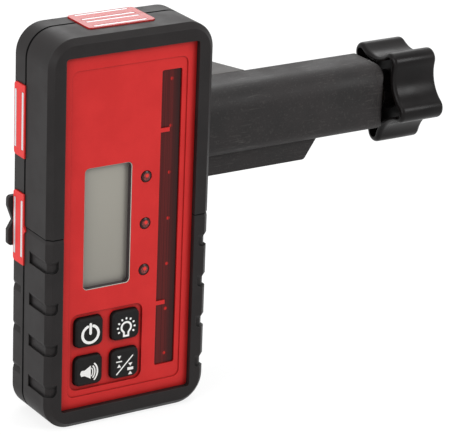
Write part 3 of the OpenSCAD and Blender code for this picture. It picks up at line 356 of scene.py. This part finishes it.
# Lamps. Three red diffused lamps with round noses, soldered to the board and showing through
# close holes in the panel beside the display. Each carries a painted highlight, a red glint
# above its middle, and painted shade in a dark rim round its edge.
LAMP_PITCH = 20.4
GLINT_OFFSET = Vector((0.1, 0.0, 0.5))
GLINT_R = 1.5
RIM_SHADE_FROM, RIM_SHADE_FULL = 1.3, 1.8
where = surface("lamp_red")
low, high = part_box("indicator_leds")
middle = (low + high) / (2 * MM)
speck = cloud(where, 0.35, 3.0)
out = from_row(where, middle, LAMP_PITCH)
# Painted highlight: a red glint a little above each lamp's middle.
glint_spot = from_row(where, middle + GLINT_OFFSET, LAMP_PITCH)
colour = between(ease(speck, 0.42, 0.6), tint("#4a1414"), tint("#a04844"))
colour = between(ease(GLINT_R - glint_spot - 0.9 * speck, 0.1, 0.5), colour, tint("#e0302a"))
# Painted shade: a dark rim round each lamp, where its hole is in shade.
lamp_red = shaded(where, {
    "Base Color": between(ease(out, RIM_SHADE_FROM, RIM_SHADE_FULL), colour, tint("#2c0808")),
    "Roughness": 0.15 + 0.2 * speck,
    "Normal": bumped(speck, 0.03),
    "Specular IOR Level": 0.25,
})
dress("indicator_leds", lamp_red)

# Circuit board with its switches and sounder. The board is green-lacquered glass fibre, and
# four small screws hold it on the panel's posts.
where = surface("board_green")
weave = streaks(where, (0.5, 0.5, 2.0)) + streaks(where, (2.0, 0.5, 0.5))
copper = ease(streaks(where, (1.2, 1.2, 7.0), 0.0), 0.5, 0.53)
board_green = shaded(where, {
    "Base Color": between(copper, tint("#1f4a2d"), tint("#2f6b40")),
    "Roughness": 0.3 + 0.08 * weave,
    "Normal": bumped(copper, 0.03),
})
dress("main_board", board_green)
dress("tact_switches", component_black)
dress("buzzer", component_black)


def metal(name, dark, light, rough, marks, shine=1.0):
    """Metal with fine tool or rolling marks of these sizes along X, Y and Z."""
    where = surface(name)
    worked = streaks(where, marks, 3.0)
    return shaded(where, {
        "Base Color": between(ease(worked, 0.3, 0.7), tint(dark), tint(light)),
        "Metallic": shine,
        "Roughness": rough - 0.08 + 0.16 * worked,
        "Normal": bumped(worked, 0.003),
    })


screw_steel = metal("screw_steel", "#8f9193", "#b4b6b8", rough=0.32, marks=(0.4, 0.08, 0.4))
dress("board_screws", screw_steel)

# Battery compartment. A black tray between the back wall and the board holds two cells side
# by side, with a plated steel contact at each end of each cell.
CELL_BAND = 12.0
BAND_EDGE = 0.3
tray_black = moulded("tray_black", "#222222", "#2b2b2b", rough=0.55, grain=0.5, depth=0.012)
dress("battery_tray", tray_black)
where = surface("cell_jacket")
band_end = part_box("battery_cells")[0].x / MM + CELL_BAND
jacket = ease(along(where, "X"), band_end, band_end + BAND_EDGE)
foil = streaks(where, (30.0, 0.3, 0.3))
cell_jacket = shaded(where, {
    "Base Color": between(jacket, tint("#8c8f93"), tint("#3a3d42")),
    "Metallic": 0.6,
    "Roughness": 0.28 + 0.1 * foil,
})
dress("battery_cells", cell_jacket)
contact_steel = metal("contact_steel", "#b3b5b4", "#d2d4d2", rough=0.25, marks=(0.1, 0.6, 0.6))
dress("battery_contacts", contact_steel)

# Case screws. Six plated steel screws with hexagon sockets. Their heads are sunk in the posts
# of the rear half, and they hold in the posts of the front half.
dress("case_screws", screw_steel)

# Magnet inserts. Bright red moulded blocks pressed into the left side and the top, where their
# skin is glossier; each holds a magnet bar between two ground steel strips that stick to steel
# framing.
SIDE_RISE = 0.36
TOP_RISE = 0.2
STRIP_EDGE = 0.12
WELD = 0.001
FLAT_BELOW = math.radians(1)
# Edges of the blocks are painted paler, partly wear and partly painted highlight.
side_red = moulded("side_red", "#d62625", "#de2d2c", rough=0.38, grain=0.3, depth=0.006,
                   gloss=0.2, wear_and_highlight="#ee625c")
for place in ("upper", "lower"):
    dress("side_insert_" + place, side_red)
top_red = moulded("top_red", "#b0201f", "#ba2726", rough=0.25, grain=0.3, depth=0.006,
                  gloss=0.6, wear_and_highlight="#c02a28")
for place in ("front", "rear"):
    dress("top_insert_" + place, top_red)
pole_steel = metal("pole_steel", "#c9ccce", "#e4e6e8", rough=0.4, marks=(0.15, 0.15, 0.15), shine=0.6)
strips = bmesh.new()
strips.from_mesh(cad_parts["pole_strips"].data)
bmesh.ops.remove_doubles(strips, verts=strips.verts, dist=WELD * MM)
bmesh.ops.dissolve_limit(strips, angle_limit=FLAT_BELOW, verts=strips.verts, edges=strips.edges)
low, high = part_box("pole_strips")
for corner in strips.verts:
    if corner.co.x < low.x + STRIP_EDGE * MM:
        corner.co.x -= SIDE_RISE * MM
    elif corner.co.z > high.z - STRIP_EDGE * MM:
        corner.co.z += TOP_RISE * MM
bmesh.ops.bevel(strips, geom=strips.edges[:], offset=STRIP_EDGE * MM, segments=2, affect="EDGES")
piece("ground_strips", strips, pole_steel, "receiver", "pole_strips")
magnet_grey = metal("magnet_grey", "#6d7074", "#85888c", rough=0.5, marks=(0.3, 0.3, 0.3))
dress("magnet_bars", magnet_grey)

# Threaded insert in the case's back. It is turned from brass and moulded into the rear half,
# and takes the clamp's attaching screw.
brass = metal("brass", "#94743a", "#b8975a", rough=0.3, marks=(0.1, 0.6, 0.6))
dress("mount_nut", brass)

# Battery door. A flat lid with finger lines, moulded in the case's black plastic; it swings on
# a steel pin along its lower edge.
# Its edges are painted paler, partly wear and partly painted highlight.
door_black = moulded("door_black", "#191616", "#201d1d", rough=0.5, grain=0.3, depth=0.012,
                     gloss=0.2, edge=0.5, wear_and_highlight="#353231")
dress("battery_door", door_black)
dress("door_hinge_pin", screw_steel)

# Push buttons. Four soft square keys of black rubber with a lightly cratered skin; a white
# sign is printed on each face, so it travels with its key.
PRINT_T = 0.05
button_black = moulded("button_black", "#121111", "#1a1919", rough=0.55, grain=0.55, depth=0.03, gloss=0.15)
for key in ("power", "light", "sound", "precision"):
    dress(key + "_button", button_black)
where = surface("print_white")
ink = cloud(where, 0.4)
print_white = shaded(where, {
    "Base Color": between(ink, tint("#e4e4e2"), tint("#f6f6f4")),
    "Roughness": 0.45 + 0.1 * ink,
    "Normal": bumped(ink, 0.004),
})


def filled(sheet, points):
    """Adds a flat face with these corners to the sheet."""
    sheet.faces.new([sheet.verts.new((p.x * MM, 0, p.y * MM)) for p in points])


def line(sheet, points, width, closed=False):
    """Adds a flat line of this width through the points, with round ends unless closed."""
    count = len(points)
    edges = []
    for i, point in enumerate(points):
        before = points[i - 1] if closed or i > 0 else point
        after = points[(i + 1) % count] if closed or i < count - 1 else point
        ways = [(b - a).normalized() for a, b in ((before, point), (point, after)) if a != b]
        way = sum(ways, Vector((0, 0))).normalized()
        side = Vector((-way.y, way.x)) * width / 2 / way.dot(ways[0])
        edges.append((point + side, point - side))
    for i in range(count if closed else count - 1):
        (a, b), (c, d) = edges[i], edges[(i + 1) % count]
        filled(sheet, (a, b, d, c))
    if not closed:
        for point, (a, b) in ((points[0], edges[0]), (points[-1], edges[-1][::-1])):
            start = math.degrees(math.atan2(a.y - point.y, a.x - point.x))
            filled(sheet, arc(point, width / 2, start, start + 180, 10))


def print_sign(key, sheet):
    """Presses a flat sign on a key's face as a thin printed layer that rides on the key."""
    low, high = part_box(key + "_button")
    bmesh.ops.remove_doubles(sheet, verts=sheet.verts, dist=WELD * MM)
    bmesh.ops.recalc_face_normals(sheet, faces=sheet.faces)
    raised = bmesh.ops.extrude_face_region(sheet, geom=sheet.faces[:])["geom"]
    tops = [v for v in raised if isinstance(v, bmesh.types.BMVert)]
    bmesh.ops.translate(sheet, verts=tops, vec=(0, -PRINT_T * MM, 0))
    bmesh.ops.recalc_face_normals(sheet, faces=sheet.faces)
    middle = ((low.x + high.x) / 2, low.y, (low.z + high.z) / 2)
    bmesh.ops.translate(sheet, verts=sheet.verts, vec=middle)
    piece(key + "_sign", sheet, print_white, key + "_key")


POWER_MIDDLE = Vector((0.3, -0.75))
POWER_R = 3.75
POWER_GAP = 42
POWER_LINE = 1.2
STEM_TOP, STEM_FOOT = 3.65, -0.4
power_sign = bmesh.new()
start = 90 + POWER_GAP / 2
line(power_sign, arc(POWER_MIDDLE, POWER_R, start, start + 360 - POWER_GAP, 40), POWER_LINE)
line(power_sign, [Vector((POWER_MIDDLE.x, z)) for z in (STEM_TOP, STEM_FOOT)], POWER_LINE)
print_sign("power", power_sign)

BULB_MIDDLE = Vector((0, -0.8))
BULB_R = 2.25
BULB_HALF_TURN = 142
BULB_LINE = 0.85
SOCKET_HALF = 1.05
SOCKET_TOP, SOCKET_FOOT = -3.1, -4.65
RAYS = 9
RAY_STEP = 30
RAY_IN, RAY_OUT = 3.85, 4.05
light_sign = bmesh.new()
bulb = arc(BULB_MIDDLE, BULB_R, 90 - BULB_HALF_TURN, 90 + BULB_HALF_TURN, 30)
bulb += [Vector((-SOCKET_HALF, z)) for z in (SOCKET_TOP, SOCKET_FOOT)]
bulb += [Vector((SOCKET_HALF, z)) for z in (SOCKET_FOOT, SOCKET_TOP)]
line(light_sign, bulb, BULB_LINE, closed=True)
for i in range(RAYS):
    way = math.radians(RAY_STEP * (i - 1))
    ray = Vector((math.cos(way), math.sin(way)))
    line(light_sign, [BULB_MIDDLE + ray * length for length in (RAY_IN, RAY_OUT)], BULB_LINE)
print_sign("light", light_sign)

HORN = ((-4.3, 0), (-3.7, 1.3), (-2.1, 1.25), (0.75, 2.95), (0.75, -2.95), (-2.1, -1.25), (-3.7, -1.3))
HORN_Z = -0.6
WAVES_X = -1.3
sound_sign = bmesh.new()
filled(sound_sign, [Vector((x, z + HORN_Z)) for x, z in HORN])
for radius, half_turn, width in ((3.0, 34, 0.5), (4.0, 39, 0.6), (5.2, 43, 0.7)):
    line(sound_sign, arc(Vector((WAVES_X, HORN_Z)), radius, -half_turn, half_turn), width)
print_sign("sound", sound_sign)

SLASH_FOOT, SLASH_TOP = Vector((-4.05, -4.3)), Vector((3.4, 3.1))
SLASH_LINE = 0.55
BAR_HALF = 1.4
TIP_GAP = 1.15
TIP_HALF = 0.95
TIP_H = 1.45
precision_sign = bmesh.new()
line(precision_sign, [SLASH_FOOT, SLASH_TOP], SLASH_LINE)
for x, z, thick in ((-3.0, 1.3, 0.55), (2.4, -2.65, 1.25)):
    bar = [(-BAR_HALF, -thick / 2), (BAR_HALF, -thick / 2), (BAR_HALF, thick / 2), (-BAR_HALF, thick / 2)]
    filled(precision_sign, [Vector((x + a, z + b)) for a, b in bar])
    for up in (-1, 1):
        tip = z + up * TIP_GAP
        foot = tip + up * TIP_H
        arrow = [(x, tip), (x - TIP_HALF, foot), (x + TIP_HALF, foot)]
        filled(precision_sign, [Vector(point) for point in arrow])
print_sign("precision", precision_sign)

# Clamp bracket, its end cap and the moving jaw. Stiff black glass-filled mouldings, matt and
# a little scuffed by the staff; two blackened screws hold the cap that closes the hollow arm.
where = surface("clamp_black")
skin = cloud(where, 0.4, 3.0)
flow = cloud(where, 16.0, 3.0)
soft = softened(where, 0.6)
pores = ease(cloud(where, 0.9, 4.0), 0.56, 0.7)
scratches = ease(streaks(where, (7.0, 0.9, 0.7), 5.0), 0.54, 0.8)
scuffed = ease(cloud(where, 22.0, 3.0), 0.46, 0.62)
colour = between(ease(flow * 0.6 + skin * 0.4, 0.35, 0.65), tint("#1b1919"), tint("#2a2727"))
colour = between(scratches * scuffed * 0.35 + pores * 0.14, colour, tint("#625e5b"))
# Edges are painted paler, partly wear and partly painted highlight.
clamp_black = shaded(where, {
    "Base Color": between(edge_wear_and_highlight(soft) * 0.5, colour, tint("#4f4b49")),
    "Roughness": 0.5 + 0.14 * ease(flow, 0.3, 0.7) - 0.1 * scratches,
    "Normal": bumped(skin + 0.2 * scratches, 0.02, soft),
    "Specular IOR Level": 0.25,
})
dress("clamp_bracket", clamp_black)
dress("arm_end_cap", clamp_black)
# Its edges are painted paler, partly wear and partly painted highlight.
jaw_black = moulded("jaw_black", "#353231", "#43403e", rough=0.5, grain=0.4, depth=0.02,
                    gloss=0.3, edge=0.6, wear_and_highlight="#5c5856")
dress("moving_jaw", jaw_black)
blackened_steel = metal("blackened_steel", "#141415", "#1e1e20", rough=0.5, marks=(0.4, 0.08, 0.4),
                        shine=0.3)
dress("end_cap_screws", blackened_steel)

# Jaw pads and nut. The pads are black rubber strips with cross ribs, glued to the faces that
# grip the staff; the brass nut sits in the moving jaw and rides on the lead screw.
pad_rubber = moulded("pad_rubber", "#131313", "#1c1c1c", rough=0.75, grain=0.5, depth=0.03, gloss=0.2)
dress("fixed_jaw_pad", pad_rubber)
dress("moving_jaw_pad", pad_rubber)
dress("jaw_nut", brass)

# Attaching screw. A steel screw with a captive washer and a small moulded star knob, which
# draws the bracket's plate against the case's back.
LOBES = 5
LOBE_STEPS = 16
VALLEY_STEPS = 14
BEND_STEPS = 6
SMOOTH_BELOW = math.radians(40)
THREAD_STEPS = 12
FLANK_FOOT, FLANK_W = 0.34, 0.18
SMALL_STAR = {"tip": 13.0, "lobe": 3.64, "valley": 9.36}
SMALL_EDGE = 1.4
SMALL_DISH = ((0.8, 5.4), (0.0, 6.2))
SMALL_BORE_R = 3.12
SMALL_CROWN = 3.0
SCREW_R, SCREW_ROOT, SCREW_TIP = 3.1, 2.5, 2.2
SCREW_LEAD = 1.27
SCREW_POINT = 0.4
SCREW_SHANK = 8.0
SHANK_STEP = 0.1
# Its edges are painted paler, partly wear and partly painted highlight.
knob_black = moulded("knob_black", "#0c0a0a", "#131010", rough=0.32, grain=0.35, depth=0.006,
                     gloss=0.15, wear_and_highlight="#2c2928")
dress("screw_washer", screw_steel)


def lofted(rings, place):
    """Solid through rings of points in millimetres, closed at both ends and put in its place."""
    solid = bmesh.new()
    rows = [[solid.verts.new(place @ (point * MM)) for point in ring] for ring in rings]
    skinned(solid, rows)
    for row in (rows[0], rows[-1]):
        solid.faces.new(row)
    bmesh.ops.recalc_face_normals(solid, faces=solid.faces)
    for face in solid.faces:
        face.smooth = True
    for edge in solid.edges:
        edge.smooth = edge.calc_face_angle() < SMOOTH_BELOW
    return solid


def disc(x, radius, count=40):
    """Ring of points round the X axis."""
    turns = [2 * math.pi * i / count for i in range(count)]
    return [Vector((x, radius * math.cos(t), radius * math.sin(t))) for t in turns]


def thread(x0, x1, root, crest, lead, hand):
    """Rings of a screw thread along X that runs out at both ends; hand is -1 for a left-hand one."""
    rings = []
    slices = round(THREAD_STEPS * (x1 - x0) / lead)
    for i in range(slices + 1):
        x = x0 + (x1 - x0) * i / slices
        run_out = min(1.0, (x - x0) / lead, (x1 - x) / lead)
        ring = disc(x, 1.0)
        for k, point in enumerate(ring):
            from_crest = abs((x / lead - hand * k / len(ring)) % 1 - 0.5)
            height = min(1.0, max(0.0, (FLANK_FOOT - from_crest) / FLANK_W)) * run_out
            point.yz *= root + (crest - root) * height
        rings.append(ring)
    return rings


def star(x, inset, tip, lobe, valley):
    """Ring of a star whose lobes and valleys are arcs that meet without a corner."""
    half = math.pi / LOBES
    reach = tip - lobe
    side = reach * math.cos(half)
    dip = (valley ** 2 + reach ** 2 - 2 * valley * side - lobe ** 2) / (2 * (lobe + side - valley))
    far = valley + dip
    lean = math.atan2(far * math.sin(half), far * math.cos(half) - reach)

    def out(turn, length):
        return Vector((0, length * math.cos(turn), length * math.sin(turn)))

    ring = []
    for i in range(LOBES):
        middle = 2 * half * i
        for k in range(LOBE_STEPS + 1):
            way = middle + lean * (2 * k / LOBE_STEPS - 1)
            ring.append(out(middle, reach) + out(way, lobe - inset))
        for k in range(1, VALLEY_STEPS):
            way = middle + lean + (2 * half - 2 * lean) * k / VALLEY_STEPS
            ring.append(out(middle + half, far) - out(way, dip + inset))
    return [point + Vector((x, 0, 0)) for point in ring]


def inside(ring, x, radius):
    """Round ring inside a star, point for point."""
    return [Vector((x, *(point.yz.normalized() * radius))) for point in ring]


def rim(x0, x1, edge, sizes):
    """Rings of a star's side from the end at x1 to the one at x0, with rounded edges."""
    bends = [math.radians(90 * i / BEND_STEPS) for i in range(BEND_STEPS + 1)]
    steps = [(edge * (1 - math.cos(bend)), edge * (1 - math.sin(bend))) for bend in bends]
    far = [star(x1 - drop, inset, **sizes) for drop, inset in steps]
    near = [star(x0 + drop, inset, **sizes) for drop, inset in steps[::-1]]
    return far + near


low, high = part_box("attaching_knob")
middle = (low + high) / 2
across = Matrix(((0, 0, 1), (1, 0, 0), (0, 1, 0))).to_4x4()
place = Matrix.Translation((middle.x, 0, middle.z)) @ across
x0, x1 = low.y / MM, high.y / MM
shape = rim(x0, x1, SMALL_EDGE, SMALL_STAR)
shape = [inside(shape[0], x1 - sunk, radius) for sunk, radius in SMALL_DISH] + shape
shape += [inside(shape[-1], x, SMALL_BORE_R) for x in (x0, x1 - SMALL_CROWN)]
piece("small_star_knob", lofted(shape, place), knob_black, "attaching_knob_set",
      "attaching_knob")

low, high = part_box("attaching_screw")
x0, x1 = low.y / MM, high.y / MM
shape = [disc(x0, SCREW_TIP)]
shape += thread(x0 + SCREW_POINT, x1 - SCREW_SHANK, SCREW_ROOT, SCREW_R, SCREW_LEAD, 1)
shape += [disc(x, SCREW_R) for x in (x1 - SCREW_SHANK + SHANK_STEP, x1)]
piece("fastening_thread", lofted(shape, place), screw_steel, "attaching_knob_set",
      "attaching_screw")

# Lead screw and star knob. The knob turns the steel screw in the arm; its left-hand thread
# drives the jaw. A brass-coloured washer and a ring hold the screw endways.
LARGE_STAR = {"tip": 23.3, "lobe": 4.7, "valley": 16.3}
KNOB_T = 22.6
KNOB_EDGE = 1.8
KNOB_RIM = 2.2
KNOB_HOLLOW = 7.0
KNOB_DISH = ((2.0, 7.2), (1.4, 8.0), (0.5, 8.0), (0.0, 8.6))
KNOB_CROWN = 6.0
KNOB_REST = math.radians(-93)
HUB_R = 9.0
HUB_BORE_R = 3.02
DRIVE_R, DRIVE_ROOT, DRIVE_TIP = 4.0, 3.0, 2.6
DRIVE_LEAD = 4.0
DRIVE_POINT = 0.4
THREADED_OVER_R = 3.5
dress("thrust_washer", brass)
dress("retaining_ring", screw_steel)
low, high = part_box("lead_screw")
middle = (low + high) / 2
place = Matrix.Translation((0, middle.y, middle.z))
knob_low, knob_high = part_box("star_knob")
x1 = knob_high.x / MM
x0 = x1 - KNOB_T
shape = rim(x0, x1, KNOB_EDGE, LARGE_STAR)
shape = [inside(shape[0], x1 - sunk, radius) for sunk, radius in KNOB_DISH] + shape
floor_x = x0 + KNOB_HOLLOW
shape += [star(x, KNOB_RIM, **LARGE_STAR) for x in (x0, floor_x)]
hub_x = knob_low.x / MM
hub = [(floor_x, HUB_R), (hub_x, HUB_R), (hub_x, HUB_BORE_R), (x1 - KNOB_CROWN, HUB_BORE_R)]
shape += [inside(shape[-1], x, radius) for x, radius in hub]
knob_place = place @ Matrix.Rotation(KNOB_REST, 4, "X")
piece("large_star_knob", lofted(shape, knob_place), knob_black, "clamp_screw", "star_knob")

x0, x1 = low.x / MM, high.x / MM
threaded = [
    corner.co.x / MM
    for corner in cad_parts["lead_screw"].data.vertices
    if (corner.co - middle).yz.length > THREADED_OVER_R * MM
]
shape = [disc(x0, DRIVE_TIP), disc(x0 + DRIVE_POINT, DRIVE_ROOT)]
shape += thread(min(threaded), max(threaded), DRIVE_ROOT, DRIVE_R, DRIVE_LEAD, -1)
shape += [disc(x1 - DRIVE_POINT, DRIVE_ROOT), disc(x1, DRIVE_TIP)]
piece("drive_thread", lofted(shape, place), screw_steel, "clamp_screw", "lead_screw")

# Studio. A pale floor under the case and an even white surround, with soft lights overhead,
# behind to the right, in front to the right and at the left. The camera stands where the
# photograph was taken from.
FLOOR_HALF = 4.0
FLOOR_GLOW = 0.8
SURROUND_FILL = 0.55
TARGET = Vector((0.018301, -0.0345, -0.011651))
AZIMUTH = math.radians(-32.531)
ELEVATION = math.radians(20.652)
ROLL = math.radians(2.167)
DISTANCE = 1.194993
SENSOR_W = 36.0
FOCAL_LENGTH = 224.887
floor_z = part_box("rear_shell")[0].z
floor_mesh = bpy.data.meshes.new("floor")
corners = [(x * FLOOR_HALF, y * FLOOR_HALF, floor_z) for x, y in ((-1, -1), (1, -1), (1, 1), (-1, 1))]
floor_mesh.from_pydata(corners, [], [(0, 1, 2, 3)])
floor = bpy.data.objects.new("floor", floor_mesh)
bpy.context.scene.collection.objects.link(floor)


def seen_directly(shade):
    """1 for rays that show the surround itself: to the camera, in gloss and through glass."""
    kinds = ("Camera", "Glossy", "Transmission")
    rays = [shade.node("ShaderNodeLightPath", {}, {}, f"Is {kind} Ray") for kind in kinds]
    return ease(rays[0] + rays[1] + rays[2], 0.0, 1.0)


where = surface("floor_white")
direct = seen_directly(where)
paper = where.node("ShaderNodeBsdfDiffuse", {}, {"Color": tint("#dcdcdc")})
pale = where.node("ShaderNodeBsdfDiffuse", {}, {"Color": tint("#8a8a8a")})
glow = where.node("ShaderNodeEmission", {}, {"Color": tint("#ffffff"), "Strength": FLOOR_GLOW})
shown = where.node("ShaderNodeAddShader", {}, {0: pale, 1: glow})
mixed = where.node("ShaderNodeMixShader", {}, {0: direct, 1: paper, 2: shown})
where.feed(where.material.node_tree.nodes["Material Output"], {"Surface": mixed})
floor.data.materials.append(where.material)

world = bpy.data.worlds.new("studio")
world.use_nodes = True
bpy.context.scene.world = world
sky = Shade(world)
direct = seen_directly(sky)
fill = sky.node("ShaderNodeBackground", {}, {"Color": tint("#ffffff"), "Strength": SURROUND_FILL})
white = sky.node("ShaderNodeBackground", {}, {"Color": tint("#ffffff"), "Strength": 1.0})
mixed = sky.node("ShaderNodeMixShader", {}, {0: direct, 1: fill, 2: white})
sky.feed(world.node_tree.nodes["World Output"], {"Surface": mixed})


def softbox(name, place, size, power):
    """A square diffused lamp at a place, turned towards the object."""
    lamp = bpy.data.lights.new(name, "AREA")
    lamp.size = size
    lamp.energy = power
    box = bpy.data.objects.new(name, lamp)
    box.location = place
    box.rotation_euler = (TARGET - Vector(place)).to_track_quat("-Z", "Y").to_euler()
    bpy.context.scene.collection.objects.link(box)


softbox("overhead", (0.1, 0.1, 1.3), size=1.2, power=6.0)
softbox("rear_right", (0.6, 1.1, 0.9), size=0.8, power=4.5)
softbox("front_right", (0.75, -1.1, 0.75), size=0.5, power=7.0)
softbox("left_side", (-1.2, -0.3, 0.5), size=0.9, power=9.0)

back = Vector((
    math.sin(AZIMUTH) * math.cos(ELEVATION),
    -math.cos(AZIMUTH) * math.cos(ELEVATION),
    math.sin(ELEVATION),
))
right = (-back).cross(Vector((0, 0, 1))).normalized()
up = right.cross(-back)
camera = bpy.data.objects.new("camera", bpy.data.cameras.new("camera"))
camera.data.sensor_width = SENSOR_W
camera.data.lens = FOCAL_LENGTH
turn = Matrix((
    right * math.cos(ROLL) + up * math.sin(ROLL),
    up * math.cos(ROLL) - right * math.sin(ROLL),
    back,
)).transposed()
camera.matrix_world = Matrix.Translation(TARGET + back * DISTANCE) @ turn.to_4x4()
bpy.context.scene.collection.objects.link(camera)
bpy.context.scene.camera = camera
bpy.context.scene.view_settings.view_transform = "Standard"
